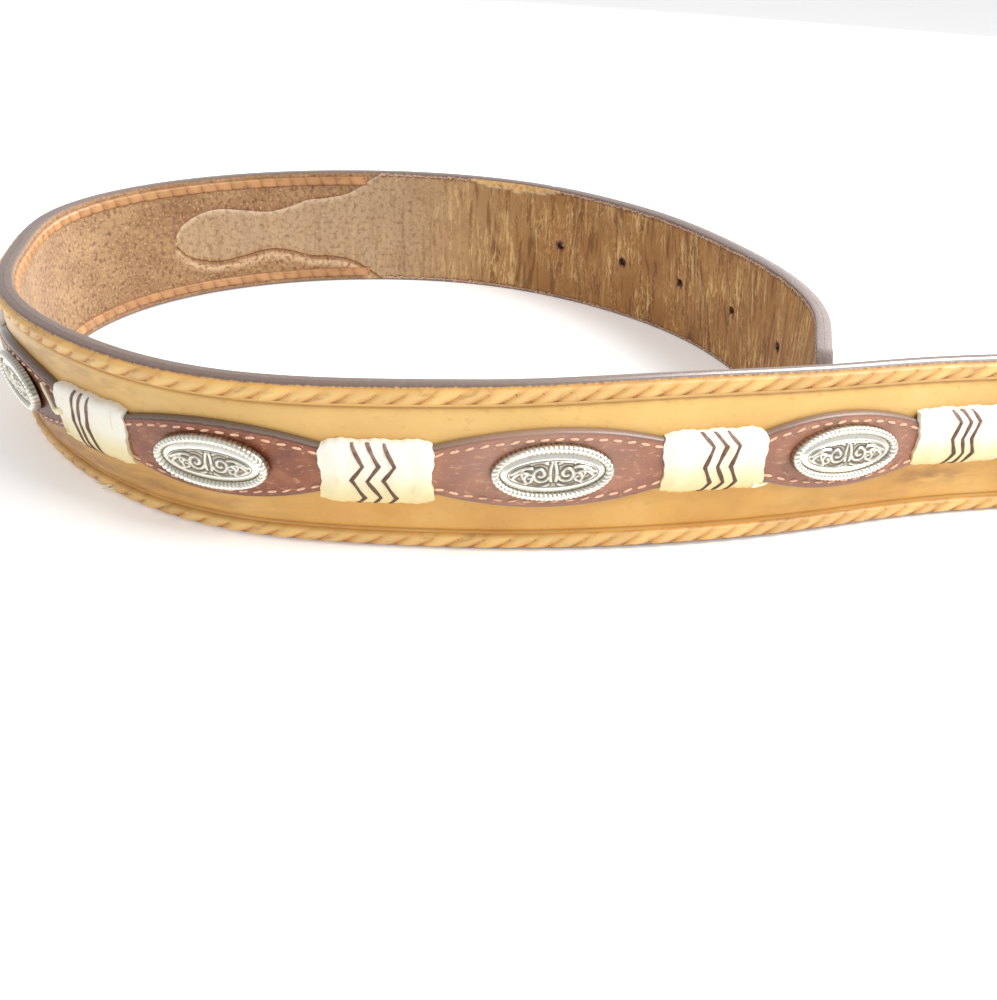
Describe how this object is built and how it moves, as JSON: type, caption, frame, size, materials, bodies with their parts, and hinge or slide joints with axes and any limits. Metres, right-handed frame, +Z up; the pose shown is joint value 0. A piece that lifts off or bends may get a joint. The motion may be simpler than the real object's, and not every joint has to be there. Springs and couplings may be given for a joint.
{
  "type": "concho belt",
  "caption": "Leather belt standing on its long edge in a loose loop, with oval silver conchos between rawhide wraps on a brown centre strip and a plain buckle.",
  "frame": {"origin": "on the ground under the middle of the belt's box", "axes": "+Z up from the edge that the belt stands on; +X to the right of the front strand, towards the buckle; the front strand's outer face looks along -Y"},
  "size_m": [0.6063, 0.2111, 0.0464],
  "materials": {
    "sueded_lining": "tan leather lining, sueded and worn",
    "golden_leather": "golden tan leather, smooth with brown smudges",
    "billet_leather": "red-brown leather, cracked and worn through to tan",
    "chestnut_leather": "thick chestnut-brown leather with light thread stitches",
    "lace_leather": "narrow orange-tan leather lace",
    "rawhide": "cream rawhide with three brown zigzag lines",
    "concho_silver": "antiqued nickel silver, rope edge, darkened ground",
    "buckle_steel": "plain steel"
  },
  "bodies": {
    "root": {"lining": "sueded_lining", "face_leather": "golden_leather", "tip_billet": "billet_leather", "buckle_billet": "billet_leather", "buckle": "buckle_steel", "centre_strip": "chestnut_leather", "face_lace_bottom": "lace_leather", "face_lace_top": "lace_leather", "lining_lace_bottom": "lace_leather", "lining_lace_top": "lace_leather", "rawhide_wrap_1": "rawhide", "rawhide_wrap_2": "rawhide", "rawhide_wrap_3": "rawhide", "rawhide_wrap_4": "rawhide", "rawhide_wrap_5": "rawhide", "rawhide_wrap_6": "rawhide", "rawhide_wrap_7": "rawhide", "rawhide_wrap_8": "rawhide", "rawhide_wrap_9": "rawhide", "rawhide_wrap_10": "rawhide", "rawhide_wrap_11": "rawhide", "concho_1": "concho_silver", "concho_2": "concho_silver", "concho_3": "concho_silver", "concho_4": "concho_silver", "concho_5": "concho_silver", "concho_6": "concho_silver", "concho_7": "concho_silver", "concho_8": "concho_silver", "concho_9": "concho_silver", "concho_10": "concho_silver"}
  },
  "joints": []
}
